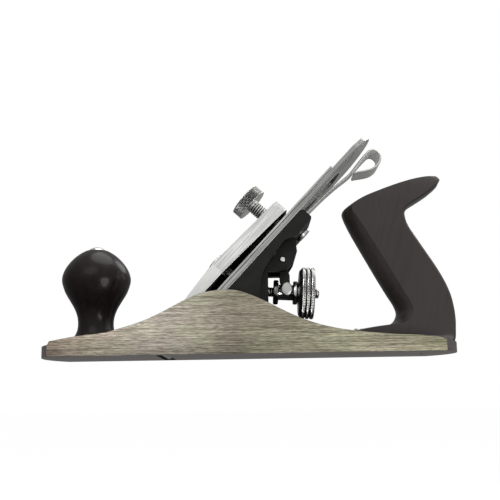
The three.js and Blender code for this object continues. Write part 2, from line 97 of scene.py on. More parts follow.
# ------------------------------------------------------------------ materials
def material(name, base, rough, metal, spec=0.5, coat=0.0, coat_rough=0.1):
    m = bpy.data.materials.new(name)
    m.use_nodes = True
    t = m.node_tree
    b = t.nodes["Principled BSDF"]
    b.inputs["Base Color"].default_value = (*base, 1)
    b.inputs["Roughness"].default_value = rough
    b.inputs["Metallic"].default_value = metal
    b.inputs["Specular IOR Level"].default_value = spec
    b.inputs["Coat Weight"].default_value = coat
    b.inputs["Coat Roughness"].default_value = coat_rough
    return m, t, b


def node(t, kind, **values):
    n = t.nodes.new(kind)
    for k, v in values.items():
        if k in n.inputs:
            n.inputs[k].default_value = v
        else:
            setattr(n, k, v)
    return n


def coords(t, scale, turn=0.0):
    """Object coordinates in metres times scale, on axes turned about Y; -BED_ANGLE runs X up the bed."""
    tc = node(t, "ShaderNodeTexCoord")
    mp = node(t, "ShaderNodeMapping", vector_type="TEXTURE")
    mp.inputs["Scale"].default_value = tuple(1 / v for v in scale)
    mp.inputs["Rotation"].default_value = (0, turn, 0)
    t.links.new(tc.outputs["Object"], mp.inputs["Vector"])
    return mp.outputs["Vector"]


def noise_of(t, vector, detail, rough):
    n = node(t, "ShaderNodeTexNoise", Scale=1.0, Detail=detail, Roughness=rough)
    t.links.new(vector, n.inputs["Vector"])
    return n.outputs["Fac"]


def ramp(t, fac, stops):
    r = node(t, "ShaderNodeValToRGB")
    e = r.color_ramp.elements
    while len(e) < len(stops):
        e.new(0.5)
    for i, (p, c) in enumerate(stops):
        e[i].position = p
        e[i].color = (*c, 1)
    t.links.new(fac, r.inputs["Fac"])
    return r.outputs["Color"]


def grey(v):
    return (v, v, v)


def tint(c, k):
    return tuple(min(1.0, v * k) for v in c)


def mix(t, kind, fac, a, b):
    m = node(t, "ShaderNodeMix", data_type="RGBA", blend_type=kind)
    if isinstance(fac, (int, float)):
        m.inputs[0].default_value = fac
    else:
        t.links.new(fac, m.inputs[0])
    for socket, v in ((m.inputs[6], a), (m.inputs[7], b)):
        if isinstance(v, tuple):
            socket.default_value = (*v, 1)
        else:
            t.links.new(v, socket)
    return m.outputs[2]


def bump(t, b, height, strength, distance):
    n = node(t, "ShaderNodeBump", Strength=strength, Distance=distance)
    t.links.new(height, n.inputs["Height"])
    t.links.new(n.outputs["Normal"], b.inputs["Normal"])


def brushed(name, base, rough, scale, turn=0.0, contrast=0.2, strength=0.12, metal=1.0, spread=0.08):
    """Metal with fine lines: scale is per metre, low along the lines and high across them."""
    m, t, b = material(name, base, rough, metal)
    lines = noise_of(t, coords(t, scale, turn), 3.0, 0.6)
    broad = noise_of(t, coords(t, (34, 34, 34)), 3.0, 0.55)
    col = ramp(t, lines, [(0.3, tint(base, 1 - contrast)), (0.7, tint(base, 1 + contrast))])
    col = mix(t, "MULTIPLY", 0.6, col, ramp(t, broad, [(0.3, grey(0.8)), (0.7, grey(1.0))]))
    t.links.new(col, b.inputs["Base Color"])
    t.links.new(ramp(t, lines, [(0.25, grey(rough - spread)), (0.75, grey(rough + spread))]),
                b.inputs["Roughness"])
    bump(t, b, lines, strength, 0.00005)
    return m


def turned(name, base, rough, contrast=0.12):
    """Lathe-turned metal: soft cloudy tone and a slight unevenness of gloss."""
    m, t, b = material(name, base, rough, 1.0)
    cloud = noise_of(t, coords(t, (260, 260, 260)), 4.0, 0.6)
    t.links.new(ramp(t, cloud, [(0.3, tint(base, 1 - contrast)), (0.7, tint(base, 1 + contrast))]),
                b.inputs["Base Color"])
    t.links.new(ramp(t, cloud, [(0.3, grey(rough - 0.05)), (0.7, grey(rough + 0.07))]),
                b.inputs["Roughness"])
    bump(t, b, cloud, 0.05, 0.0001)
    return m


TINT_AND_SHEEN_FROM_X, TINT_AND_SHEEN_TO_X = -0.118, 0.112  # m, the stretch of a cheek over which its tint and its painted reflection and shade change


def machined_cheek():
    """Ground iron: long fine lines and a few pits; a brown tint at the toe and olive at the heel, with
    painted reflection and shade along it: dark toe, light stretch behind it, dark crest, darker heel.
    """
    m, t, b = material("machined_cheek", (0.3, 0.29, 0.25), 0.42, 1.0)
    lines = noise_of(t, coords(t, (30, 90, 2900)), 2.0, 0.5)
    fine = noise_of(t, coords(t, (260, 300, 4200)), 2.0, 0.6)
    broad = noise_of(t, coords(t, (26, 26, 60)), 4.0, 0.6)
    col = ramp(t, lines, [(0.3, (0.27, 0.262, 0.21)), (0.5, (0.56, 0.55, 0.445)), (0.7, (0.9, 0.885, 0.74))])
    col = mix(t, "MULTIPLY", 0.85, col, ramp(t, fine, [(0.36, grey(0.36)), (0.64, grey(1.15))]))
    col = mix(t, "MULTIPLY", 0.9, col, ramp(t, broad, [(0.35, (0.93, 0.84, 0.88)), (0.62, (1.0, 1.0, 0.93))]))
    tc = node(t, "ShaderNodeTexCoord")
    sep = node(t, "ShaderNodeSeparateXYZ")
    t.links.new(tc.outputs["Object"], sep.inputs[0])
    along = node(t, "ShaderNodeMapRange")
    along.inputs["From Min"].default_value = TINT_AND_SHEEN_FROM_X
    along.inputs["From Max"].default_value = TINT_AND_SHEEN_TO_X
    t.links.new(sep.outputs["X"], along.inputs["Value"])
    # Painted reflection and shade along the cheek's length (dark toe, light stretch, dark crest, dark heel);
    # the brown and olive tints are the iron's own.
    col = mix(t, "MULTIPLY", 1.0, col, ramp(t, along.outputs["Result"], [
        (0.0, (0.6, 0.52, 0.5)), (0.06, (0.95, 0.86, 0.83)), (0.27, (1.16, 1.13, 1.16)),
        (0.48, (0.6, 0.585, 0.55)), (0.77, (0.78, 0.76, 0.7)), (1.0, (0.5, 0.48, 0.43))]))
    pits = node(t, "ShaderNodeTexVoronoi", Scale=85.0, Randomness=1.0)
    t.links.new(tc.outputs["Object"], pits.inputs["Vector"])
    keep = ramp(t, pits.outputs["Color"], [(0.86, grey(0.0)), (0.87, grey(1.0))])
    dot = ramp(t, pits.outputs["Distance"], [(0.05, grey(1.0)), (0.075, grey(0.0))])
    bw = node(t, "ShaderNodeRGBToBW")
    t.links.new(mix(t, "MULTIPLY", 1.0, keep, dot), bw.inputs[0])
    col = mix(t, "MIX", bw.outputs[0], col, (0.03, 0.028, 0.026))
    t.links.new(col, b.inputs["Base Color"])
    t.links.new(ramp(t, lines, [(0.25, grey(0.36)), (0.75, grey(0.5))]), b.inputs["Roughness"])
    bump(t, b, lines, 0.2, 0.0001)
    return m


def enamel(name, base, rough, grain, strength):
    """Black enamel over a sand casting: soft grain under a low gloss, thin places a little lighter."""
    m, t, b = material(name, base, rough, 0.0, spec=0.16)
    g = noise_of(t, coords(t, (grain,) * 3), 3.0, 0.55)
    w = noise_of(t, coords(t, (80,) * 3), 3.0, 0.5)
    t.links.new(ramp(t, w, [(0.3, tint(base, 0.75)), (0.7, tint(base, 1.5))]), b.inputs["Base Color"])
    t.links.new(ramp(t, g, [(0.3, grey(rough - 0.08)), (0.7, grey(rough + 0.12))]), b.inputs["Roughness"])
    bump(t, b, g, strength, 0.00025)
    return m


def lacquered(name, base, rough, coat, coat_rough, light=1.6, dark=0.6, spec=0.2):
    """Very dark hardwood under lacquer: faint long grain and a slowly changing warmth."""
    m, t, b = material(name, base, rough, 0.0, spec=spec, coat=coat, coat_rough=coat_rough)
    grain = noise_of(t, coords(t, (460, 460, 20), 0.25), 4.0, 0.6)
    warm = noise_of(t, coords(t, (42, 42, 20)), 3.0, 0.5)
    col = ramp(t, grain, [(0.28, tint(base, dark)), (0.55, base), (0.78, tint(base, light))])
    col = mix(t, "MULTIPLY", 0.8, col, ramp(t, warm, [(0.3, (0.8, 0.72, 0.7)), (0.7, (1.0, 0.98, 0.95))]))
    t.links.new(col, b.inputs["Base Color"])
    t.links.new(ramp(t, grain, [(0.3, grey(rough - 0.05)), (0.7, grey(rough + 0.07))]), b.inputs["Roughness"])
    bump(t, b, grain, 0.03, 0.0001)
    return m


UP_BED = -BED_ANGLE
GROUND = (34, 900, 1600)  # lines per metre of ground tool steel: along, across, through
M_CHEEK = machined_cheek()
M_SOLE = brushed("ground_sole", (0.5, 0.455, 0.43), 0.36, (30, 700, 700), contrast=0.18)
M_INSIDE = enamel("casting_enamel_and_cap_shade", (0.01, 0.01, 0.0105), 0.42, 700, 0.3)
M_FROG = enamel("frog_enamel", (0.0125, 0.012, 0.0112), 0.44, 620, 0.22)
M_END = brushed("casting_end", (0.24, 0.2, 0.2), 0.42, (300, 60, 800), contrast=0.2)
M_CAP = brushed("cap_nickel", (0.8, 0.8, 0.765), 0.27, (40, 900, 1500), UP_BED, contrast=0.3, strength=0.16)
# The cap's smooth lower band: its smoother finish is its own, its lighter tone is painted light.
M_CAP_LOW_LIT = brushed("cap_nickel_low_painted_light", (0.86, 0.87, 0.84), 0.33, (60, 300, 300), UP_BED,
                    contrast=0.04, strength=0.03)
M_IRON = brushed("blade_steel", (0.62, 0.62, 0.61), 0.3, GROUND, UP_BED, contrast=0.2, strength=0.08)
# A darker copy of the blade steel for the iron's long edges: painted shade.
M_IRON_EDGE_SHADED = brushed("blade_edge_painted_shade", (0.4, 0.4, 0.39), 0.3, GROUND, UP_BED, contrast=0.4, strength=0.1)
M_CAPIRON = brushed("cap_iron_steel", (0.56, 0.56, 0.54), 0.28, GROUND, UP_BED, contrast=0.26, strength=0.08)
M_NICKEL = turned("bright_nickel", (0.78, 0.775, 0.755), 0.16, 0.05)
M_KNURL = turned("knurled_nickel", (0.84, 0.835, 0.81), 0.24, 0.08)
# Near-black steel laid in the roots of threads and knurls: painted shade.
M_GROOVE_SHADE = turned("groove_painted_shade", (0.05, 0.05, 0.048), 0.45, 0.2)
M_STEEL = turned("turned_steel", (0.6, 0.6, 0.585), 0.24)
# A darkened copy of the steel for the spool's flanges: painted dark reflection.
M_DARK_REFLECTION_STEEL = turned("steel_painted_dark_reflection", (0.2, 0.2, 0.2), 0.24, 0.2)
# A darker copy of the wheel's metal for its toe face: painted dark reflection.
M_FACE_SHADE = turned("wheel_face_painted_dark_reflection", (0.3, 0.3, 0.29), 0.3, 0.15)
M_FORK = turned("fork_steel", (0.5, 0.5, 0.485), 0.4, 0.08)
M_PRESSED = brushed("pressed_nickel", (0.95, 0.96, 0.92), 0.36, (60, 420, 420), UP_BED,
                    contrast=0.05, strength=0.03, spread=0.05, metal=0.45)
M_KNOB = lacquered("gloss_lacquer_wood", (0.0115, 0.0082, 0.0072), 0.3, 0.12, 0.06, spec=0.13)
M_TOTE = lacquered("satin_lacquer_wood", (0.043, 0.037, 0.035), 0.4, 0.3, 0.16, 1.06, 0.82)


# ------------------------------------------------------------------ mesh helpers
def make(name, verts, faces, mats, body, stands_for, matrix=None, sharp=30, weld=0.0, index=None):
    """A mesh from millimetre points, riding on a body and standing for the nodes it covers."""
    me = bpy.data.meshes.new(name)
    me.from_pydata([Vector(v) * MM for v in verts], [], faces)
    if index is not None:
        me.polygons.foreach_set("material_index", index)
    if matrix is not None:
        me.transform(matrix)
    o = bpy.data.objects.new(name, me)
    bpy.context.scene.collection.objects.link(o)
    for m in mats if isinstance(mats, (list, tuple)) else [mats]:
        me.materials.append(m)
    bm = bmesh.new()
    bm.from_mesh(me)
    if weld:
        bmesh.ops.remove_doubles(bm, verts=bm.verts, dist=weld * MM)
    bmesh.ops.recalc_face_normals(bm, faces=bm.faces)
    shade(bm, sharp)
    bm.to_mesh(me)
    bm.free()
    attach(o, body)
    if stands_for:
        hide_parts(*stands_for)
    return o


def shade(bm, degrees):
    limit = math.radians(degrees)
    for f in bm.faces:
        f.smooth = True
    for e in bm.edges:
        e.smooth = len(e.link_faces) == 2 and e.calc_face_angle(0) < limit


def lathe_mesh(profile, seg, radius_at=None):
    """Rings round local z from [radius, height] pairs; a zero radius at either end closes it."""
    verts, faces, rings = [], [], []
    for r, h in profile:
        if r < 1e-6:
            rings.append([len(verts)])
            verts.append((0, 0, h))
            continue
        ring = []
        for j in range(seg):
            a = 2 * math.pi * j / seg
            rr = r if radius_at is None else radius_at(r, h, a)
            ring.append(len(verts))
            verts.append((rr * math.cos(a), rr * math.sin(a), h))
        rings.append(ring)
    for a, b in zip(rings, rings[1:]):
        for j in range(seg):
            i = (j + 1) % seg
            if len(a) == 1 and len(b) == 1:
                continue
            if len(a) == 1:
                faces.append((a[0], b[j], b[i]))
            elif len(b) == 1:
                faces.append((a[j], b[0], a[i]))
            else:
                faces.append((a[j], b[j], b[i], a[i]))
    return verts, faces


def thread(depth, pitch, h0, h1):
    """Radius rule of a single screw thread between two heights."""
    def at(r, h, a):
        if not h0 <= h <= h1:
            return r
        q = (h / pitch - a / (2 * math.pi)) % 1.0
        return r - depth * abs(2 * q - 1) ** 1.2
    return at


def grooves(verts, faces, lo, hi, h0, h1, value=1, others=None):
    """Material numbers of lathe faces: value where the mean radius is in lo..hi and the height in h0..h1;
    used to paint shade into the roots of threads and knurls.
    """
    out = list(others) if others else [0] * len(faces)
    for i, f in enumerate(faces):
        r = sum(math.hypot(verts[k][0], verts[k][1]) for k in f) / len(f)
        h = sum(verts[k][2] for k in f) / len(f)
        if lo < r < hi and h0 < h < h1:
            out[i] = value
    return out


def spline(points, steps):
    """Catmull-Rom through points, open."""
    pts = [Vector(p) for p in points]
    pts = [pts[0] * 2 - pts[1]] + pts + [pts[-1] * 2 - pts[-2]]
    out = []
    for i in range(1, len(pts) - 2):
        p0, p1, p2, p3 = pts[i - 1:i + 3]
        for s in range(steps):
            t = s / steps
            out.append(0.5 * (2 * p1 + (p2 - p0) * t + (2 * p0 - 5 * p1 + 4 * p2 - p3) * t * t
                              + (3 * p1 - p0 - 3 * p2 + p3) * t ** 3))
    out.append(pts[-2].copy())
    return out


def add_bevel(o, width, segments, angle):
    m = o.modifiers.new("edge", "BEVEL")
    m.width = width * MM
    m.segments = segments
    m.limit_method = "ANGLE"
    m.angle_limit = math.radians(angle)
    m.harden_normals = True
    m.use_clamp_overlap = True


SAME_POINT = 2e-6  # m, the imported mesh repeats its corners
FLAT_ENOUGH = math.radians(0.6)
CREASE = 30  # degrees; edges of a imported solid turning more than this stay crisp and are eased


def refine(name, mats, width, segments, pick=None, cuts=(), round_off=()):
    """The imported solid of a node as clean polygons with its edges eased, standing for that node."""
    me = NODES[name].data.copy()
    o = bpy.data.objects.new(name + "_finished", me)
    bpy.context.scene.collection.objects.link(o)
    me.materials.clear()
    for m in mats:
        me.materials.append(m)
    bm = bmesh.new()
    bm.from_mesh(me)
    bmesh.ops.remove_doubles(bm, verts=bm.verts, dist=SAME_POINT)
    bmesh.ops.dissolve_limit(bm, angle_limit=FLAT_ENOUGH, verts=bm.verts, edges=bm.edges,
                             delimit={"NORMAL"})
    bmesh.ops.recalc_face_normals(bm, faces=bm.faces)
    for width_big, wanted in round_off:
        chosen = [e for e in bm.edges if len(e.link_faces) == 2 and wanted(e)]
        bmesh.ops.bevel(bm, geom=chosen, offset=width_big * MM, segments=4, profile=0.5, affect="EDGES",
                        clamp_overlap=True)
    for co, no in cuts:
        everything = bm.verts[:] + bm.edges[:] + bm.faces[:]
        bmesh.ops.bisect_plane(bm, geom=everything, plane_co=co, plane_no=no)
    bmesh.ops.recalc_face_normals(bm, faces=bm.faces)
    shade(bm, CREASE)
    for f in bm.faces:
        f.material_index = 0 if pick is None else pick(f)
    bm.to_mesh(me)
    bm.free()
    add_bevel(o, width, segments, CREASE)
    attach(o, BODY[name])
    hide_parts(name)


# ------------------------------------------------------------------ base casting
# Limits in metres that tell the casting's faces and edges apart.
CHEEK_Y, CHEEK_END_X = 0.0306, 0.1148  # the ground outside of a cheek
UNDER_Z = 0.0016  # faces turned down and lower than this are the sole
END_X, END_FACE_X = 0.109, 0.1128  # the curved toe and heel ends
RIM_Y, RIM_X = 0.0305, 0.105  # the sole's outside edge
TOE_CORNER_X, LOW_Z = -0.1125, 0.0095  # the low upright corners at the toe
ARRIS_Y = 0.0308  # the cheek's upper outside edge
CORNER = math.radians(50)  # an edge turns at least this much to count


def casting_side(f):
    """Material number of a face: 0 ground cheek, 1 sole, 2 enamel, 3 the curved toe and heel ends."""
    n, c = f.normal, f.calc_center_median()
    if abs(n.y) > 0.9 and abs(c.y) > CHEEK_Y and abs(c.x) < CHEEK_END_X:
        return 0
    if n.z < -0.3 and c.z < UNDER_Z:
        return 1
    if abs(c.x) > END_X and abs(n.z) < 0.75 and (abs(c.x) > END_FACE_X or abs(n.x) > 0.4):
        return 3
    return 2


def low_outer_edge(e):
    """The sole's outside edge, and the short upright corners where a cheek ends at the toe."""
    a, b = (v.co for v in e.verts)
    if e.calc_face_angle(0) < CORNER:
        return False
    if max(a.z, b.z) < 0.0001:
        return abs(a.y) > RIM_Y or abs(a.x) > RIM_X
    return min(a.x, b.x) < TOE_CORNER_X and min(abs(a.y), abs(b.y)) > RIM_Y and max(a.z, b.z) < LOW_Z


def cheek_arris(e):
    """The upper outside edge of a cheek, where the enamel runs over the rounding."""
    a, b = (v.co for v in e.verts)
    if e.calc_face_angle(0) < CORNER or min(abs(a.y), abs(b.y)) < ARRIS_Y:
        return False
    return min(a.z, b.z) > LOW_Z


refine("base_casting", [M_CHEEK, M_SOLE, M_INSIDE, M_END], 0.5, 3, casting_side,
       round_off=[(0.7, cheek_arris), (1.1, low_outer_edge)])


# ------------------------------------------------------------------ knob and its nut
KNOB_AT = Matrix.Translation((-92.4 * MM, 0, 0))
# radius, height in mm, foot to top
KNOB_SIDE = [(12.9, 8), (12.9, 12.4), (11.9, 14.6), (10.9, 17.4), (10.6, 21.5), (11.2, 25.6), (12.9, 30.0),
             (15.6, 34.7), (18.3, 39.3), (20.0, 43.9), (20.6, 47.1), (20.2, 50.2), (18.8, 53.7), (16.5, 57.2),
             (13.5, 60.5), (10.4, 63.0), (7.6, 64.7), (5.9, 65.4)]
prof = [(p.x, p.y) for p in spline([(r, h, 0) for r, h in KNOB_SIDE], 5)]
prof = [(0, 8)] + prof + [(5.45, 65.35), (5.3, 64.9), (5.3, 61.6), (0, 61.6)]
v, f = lathe_mesh(prof, 96)
make("knob_turned", v, f, M_KNOB, "plane_body", ["front_knob", "knob_bolt"], KNOB_AT, sharp=50)


def slotted_dome(name, profile, half, depth, mats, body, nodes, matrix):
    """A screw or nut head with a driver slot pressed across its dome."""
    prof = [(p.x, p.y) for p in spline([(r, h, 0) for r, h in profile], 3)]
    prof[0], prof[-1] = profile[0], profile[-1]
    v, f = lathe_mesh(prof, 120)
    top = max(p[2] for p in v)
    moved = [(x, y, min(z, top - depth) if abs(y) < half and z > top - 2.2 * depth else z) for x, y, z in v]
    make(name, moved, f, mats, body, nodes, matrix, sharp=35)


NUT_SIDE = [(0, 61.9), (4.5, 61.9), (4.9, 62.3), (4.95, 65.1), (4.75, 65.75), (4.1, 66.4), (3.1, 66.95),
            (2.0, 67.3), (1.0, 67.45), (0, 67.5)]
slotted_dome("knob_nut_domed", NUT_SIDE, 0.5, 0.9, M_NICKEL, "plane_body", ["knob_nut"], KNOB_AT)

# ------------------------------------------------------------------ tote
# front x, z, back x, z, half width, depth of the front band, depth of the back rounding
TOTE = [
    (60.0, 6.2, 121.6, 6.2, 11.4, 5.0, 3.0), (59.2, 9.5, 122.4, 9.6, 11.9, 5.0, 3.2),
    (58.8, 13.2, 122.7, 14.5, 12.0, 6.0, 3.4), (71.0, 15.8, 122.9, 18.0, 12.0, 7.4, 3.5),
    (83.6, 17.4, 122.8, 22.0, 12.0, 8.4, 3.6), (88.0, 22.4, 122.3, 27.0, 12.0, 8.6, 3.6),
    (87.2, 28.0, 120.8, 34.5, 12.0, 8.6, 3.6), (82.6, 36.0, 117.5, 43.0, 12.0, 8.6, 3.6),
    (77.2, 45.6, 112.9, 51.6, 12.0, 8.6, 3.6), (71.6, 56.0, 107.6, 60.2, 12.0, 8.6, 3.6),
    (66.0, 66.4, 102.0, 69.2, 12.0, 8.4, 3.6), (61.4, 75.4, 97.5, 76.8, 12.0, 8.0, 3.6),
    (58.4, 82.4, 95.8, 82.4, 11.8, 7.0, 3.6), (57.8, 86.4, 96.0, 86.0, 11.7, 5.2, 3.4),
    (60.6, 89.6, 98.8, 89.3, 11.6, 3.4, 3.2), (68.4, 94.6, 104.0, 92.6, 11.4, 2.4, 3.0),
    (78.6, 98.9, 109.3, 95.9, 10.8, 2.1, 2.6), (89.6, 103.0, 113.2, 98.8, 10.0, 2.0, 2.2),
    (99.6, 106.2, 116.1, 101.4, 8.8, 2.0, 2.0), (108.6, 108.2, 117.4, 103.6, 7.2, 1.8, 1.8),
    (115.0, 108.8, 118.6, 105.6, 4.6, 1.3, 1.3),
]
BREAK = math.radians(64)  # the band is an arc that stops short of the side, leaving a crisp line


def tote_ring(fx, fz, gx, gz, w, ff, gg, row):
    """Flat sides with a rounded front band ff deep and a smaller rounding gg at the back."""
    length = math.hypot(gx - fx, gz - fz)
    wave = 0.45 * noise.noise((row * 0.13, 0.3, 0.0)) if ff > 4 else 0.0
    ff, gg = min(ff + wave, length * 0.45), min(gg, length * 0.45)
    steps = 8
    pts = []
    for i in range(steps + 1):
        a = BREAK * i / steps
        pts.append((ff * (1 - math.cos(a)) / (1 - math.cos(BREAK)), w * math.sin(a) / math.sin(BREAK)))
    for s in (0.2, 0.5, 0.8):
        pts.append((ff + (length - ff - gg) * s, w + 0.2 * math.sin(math.pi * s)))
    for i in range(steps + 1):
        a = math.pi / 2 * (1 - i / steps)
        pts.append((length - gg * (1 - math.cos(a)), w * math.sin(a) ** 0.8))
    ring = pts + [(d, -y) for d, y in reversed(pts[1:-1])]
    ux, uz = (gx - fx) / length, (gz - fz) / length
    return [(fx + ux * d, y, fz + uz * d) for d, y in ring]


front = spline([(s[0], s[1], s[5]) for s in TOTE], 5)
back = spline([(s[2], s[3], s[6]) for s in TOTE], 5)
wide = spline([(s[4], 0, 0) for s in TOTE], 5)
rows = [tote_ring(p.x, p.y, q.x, q.y, w.x, max(1, p.z), max(1, q.z), i)
        for i, (p, q, w) in enumerate(zip(front, back, wide))]
n = len(rows[0])
verts = [v for r in rows for v in r]
faces = [(i * n + j, i * n + (j + 1) % n, (i + 1) * n + (j + 1) % n, (i + 1) * n + j)
         for i in range(len(rows) - 1) for j in range(n)]
tip = Vector((sum(v[0] for v in rows[-1]) / n, 0, sum(v[2] for v in rows[-1]) / n))
verts += [(tip.x + 0.5, 0, tip.z + 0.6), (92, 0, 6.2)]
top = (len(rows) - 1) * n
for j in range(n):
    k = (j + 1) % n
    faces.append((top + j, top + k, len(verts) - 2))
    faces.append((k, j, len(verts) - 1))
make("tote_shaped", verts, faces, M_TOTE, "plane_body", ["tote", "tote_bolt"], sharp=20)


# ------------------------------------------------------------------ lever cap, iron, frog
CAP_BAND_S = 0.056  # m up the bed, where the cap's smooth lower band, lighter by painted light, meets the brushed part
CAP_HOLLOW = (0.0222, 0.02, 0.1078, 0.0134)  # m: half width, from and to up the bed, height over it


def cap_side(f):
    """Brushed top, a smooth lower band above the edge in a lighter copy that is painted light, and the dark
    casting enamel painted as shade in the hollow underneath and on faces turned down.
    """
    p = BED.inverted() @ f.calc_center_median()
    n = BED.to_3x3().inverted() @ f.normal
    half, s0, s1, over = CAP_HOLLOW
    inside = abs(p.y) < half and s0 < p.x < s1 and p.z < over and n.z < 0.9
    # The hollow and the faces turned down are painted dark as shade, using the casting's enamel.
    if n.z < -0.5 or inside:
        return 2
    # The lower band takes the lighter copy of the nickel, which is painted light.
    return 1 if p.x < CAP_BAND_S else 0


def iron_side(f):
    """The long edges of the iron are darker than its faces: painted shade."""
    return 1 if abs(f.normal.y) > 0.7 else 0


refine("lever_cap", [M_CAP, M_CAP_LOW_LIT, M_INSIDE], 0.7, 3, cap_side,
       cuts=[((BED @ Vector((CAP_BAND_S, 0, 0))), Vector((CB, 0, SB)))])
refine("iron", [M_IRON, M_IRON_EDGE_SHADED], 0.22, 2, iron_side)
refine("cap_iron", [M_CAPIRON], 0.2, 2)
refine("frog", [M_FROG], 0.7, 3)


def prism(name, outline, y0, y1, mats, body, bevel, matrix):
    """An outline in local x, z carried from y0 to y1, with eased edges."""
    m = len(outline)
    v = [(x, y0, z) for x, z in outline] + [(x, y1, z) for x, z in outline]
    f = [tuple(range(m)), tuple(range(2 * m - 1, m - 1, -1))]
    f += [(i, (i + 1) % m, m + (i + 1) % m, m + i) for i in range(m)]
    o = make(name, v, f, mats, body, [], matrix)
    add_bevel(o, bevel, 2, 35)


# A small bright lug on each flank of the frog, just under the bed.
LUG = [(82.6, -4.6), (86.4, -4.6), (86.4, -2.0), (82.6, -2.0)]  # mm up the bed, mm off it
LUG_Y = (24.6, 24.97)  # mm, sunk in the flank and proud of it
for hand, word in ((-1, "right"), (1, "left")):
    y0, y1 = sorted(hand * y for y in LUG_Y)
    prism("frog_lug_" + word, LUG, y0, y1, M_STEEL, "plane_body", 0.12, BED)

# ------------------------------------------------------------------ thumbscrew: threaded stem, knurled disc
# Profiles are radius, height in mm along the screw's own axis.
THUMBSCREW_AT = BED @ Matrix.Translation((101.6 * MM, 0, 0))
STEM_LOW, STEM_TOP, STEM_STEPS = 7.2, 25.4, 108  # the threaded part
STEM = [(0, 6.5), (3.3, 6.5), (3.9, 7.0)]
STEM += [(4.25, STEM_LOW + (STEM_TOP - STEM_LOW) * i / STEM_STEPS) for i in range(STEM_STEPS + 1)]
STEM += [(4.1, 25.6), (4.1, 26.6), (0, 26.6)]
v, f = lathe_mesh(STEM, 40, thread(0.75, 1.5, STEM_LOW, STEM_TOP))
# The thread's roots are painted dark as shade.
make("thumbscrew_stem", v, f, [M_STEEL, M_GROOVE_SHADE], "thumbscrew", ["thumbscrew"], THUMBSCREW_AT,
     sharp=75, index=grooves(v, f, 3.3, 3.82, 7.3, 25.3))
DIAMONDS = 54  # round the disc
DIAMOND_TALL, DIAMOND_DEEP, DIAMOND_FADE = 1.28, 0.62, 0.35  # mm
DISC_LOW, DISC_TOP, DISC_STEPS = 26.6, 32.7, 38  # the knurled band


def diamond(r, h, a):
    """Two crossed sets of grooves that leave pointed diamonds, fading at the band's edges."""
    if r < 10.6:
        return r
    u, w = a * DIAMONDS / (2 * math.pi), (h - 26.2) / DIAMOND_TALL
    p, q = abs(2 * ((u + w) % 1.0) - 1), abs(2 * ((u - w) % 1.0) - 1)
    edge = min(1.0, (h - 26.55) / DIAMOND_FADE, (32.75 - h) / DIAMOND_FADE)
    return r - DIAMOND_DEEP * (1 - min(p, q)) * max(0.0, edge) - 0.1


DISC = [(0, 26.2), (9.3, 26.2), (10.0, 26.3), (10.5, 26.5)]
DISC += [(11.0, DISC_LOW + (DISC_TOP - DISC_LOW) * i / DISC_STEPS) for i in range(DISC_STEPS + 1)]
DISC += [(10.5, 32.8), (10.0, 33.0), (9.2, 33.1), (8.3, 33.1), (7.9, 32.8), (3.2, 32.75), (2.8, 32.95),
         (0, 33.0)]
v, f = lathe_mesh(DISC, DIAMONDS * 6, diamond)
# The knurl's roots are painted dark as shade.
make("thumbscrew_disc", v, f, [M_KNURL, M_GROOVE_SHADE], "thumbscrew", [], THUMBSCREW_AT,
     sharp=42, index=grooves(v, f, 10.0, 10.52, 26.7, 32.6))

# ------------------------------------------------------------------ adjuster: wheel, spool, stud
# Profiles are radius, height in mm along the stud.
TEETH = 92
TOOTH_DEEP, TOOTH_FADE = 0.5, 0.25  # mm
BANDS = ((0.5, 2.25), (3.2, 4.8), (5.8, 7.35))  # the knurled bands, from the wheel's frog side
WHEEL_AT = 9.3  # mm along the stud, the wheel's frog side
WHEEL_SEG = TEETH * 6


def straight_knurl(r, h, a):
    """Teeth along the axis on each band, shallower at its ends."""
    if r < 15.4:
        return r
    q = abs(2 * ((a * TEETH / (2 * math.pi)) % 1.0) - 1)
    for lo, hi in BANDS:
        if lo <= h <= hi:
            ends = min(1.0, (h - lo) / TOOTH_FADE + 0.15, (hi - h) / TOOTH_FADE + 0.15)
            return r - TOOTH_DEEP * q * ends
    return r


WHEEL = [(3.35, 0.15), (3.7, 0), (8.2, 0), (8.6, -0.2), (9.0, -0.75), (9.4, -1.2), (10.0, -1.4), (12.7, -1.4),
         (13.3, -1.3), (13.8, -1.0), (15.0, 0.1), (15.3, 0.3)]
FACE_STRIPS = len(WHEEL) - 1
for lo, hi in BANDS:
    WHEEL += [(15.5, lo + (hi - lo) * i / 5) for i in range(6)]
    if hi != BANDS[-1][1]:
        WHEEL += [(14.9, hi + 0.12), (14.65, hi + 0.3), (14.65, hi + 0.65), (14.9, hi + 0.83)]
WHEEL += [(15.2, 7.62), (14.8, 7.86), (14.2, 7.9), (12.9, 7.9), (12.4, 7.5), (12.0, 6.9), (11.4, 6.7),
          (7.4, 6.7), (6.8, 7.0), (6.4, 7.6), (6.0, 7.7), (3.7, 7.7), (3.35, 7.5), (3.35, 0.15)]
v, f = lathe_mesh([(r, h + WHEEL_AT) for r, h in WHEEL], WHEEL_SEG,
                  lambda r, h, a: straight_knurl(r, h - WHEEL_AT, a))
# The toe face takes the darker copy, a painted dark reflection; the knurl's groove roots take painted shade.
wheel_painted_dark = [1 if k < FACE_STRIPS else 0 for k in range(len(WHEEL) - 1) for _ in range(WHEEL_SEG)]
wheel_painted_dark = grooves(v, f, 14.5, 15.18, 9.9, 16.7, 2, wheel_painted_dark)
make("wheel_knurled", v, f, [M_KNURL, M_FACE_SHADE, M_GROOVE_SHADE], "wheel", ["adjuster_wheel"], TURNED_X,
     sharp=40, index=wheel_painted_dark, weld=0.002)

